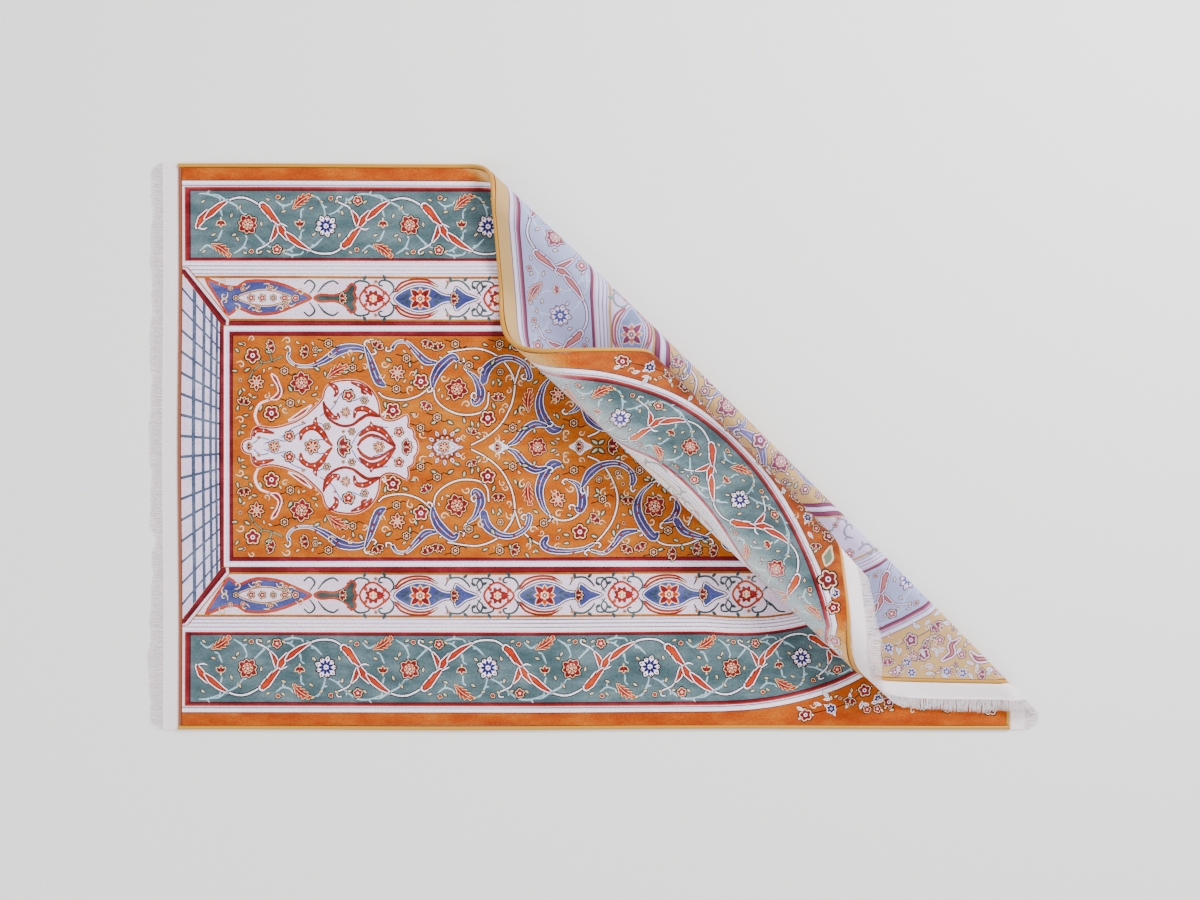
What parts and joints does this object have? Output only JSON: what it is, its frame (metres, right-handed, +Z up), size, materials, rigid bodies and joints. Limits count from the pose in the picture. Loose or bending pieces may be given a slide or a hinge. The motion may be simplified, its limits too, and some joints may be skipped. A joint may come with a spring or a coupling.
{
  "type": "prayer rug",
  "caption": "Fringed pile prayer rug lying flat, pile up, with its upper right corner folded back over it in a soft rolled loop.",
  "frame": {"origin": "middle of the footprint, on the surface that the rug lies on", "axes": "+X along the rug from its foot end to its arch end, +Y across it towards the side of the folded corner, +Z up out of the pile"},
  "size_m": [1.282, 0.8192, 0.0996],
  "materials": {
    "pile": "silky cut pile, woven in many colours",
    "edge_yarn": "glossy overcast yarn",
    "end_yarn": "woven yarn",
    "fringe_cotton": "matte twisted cotton"
  },
  "bodies": {
    "root": {"pile_carpet": "pile", "edge_cord_lower": "edge_yarn", "edge_cord_upper": "edge_yarn", "end_band_left": "end_yarn", "end_band_right": "end_yarn", "fringe_left": "fringe_cotton", "fringe_right": "fringe_cotton"}
  },
  "joints": []
}
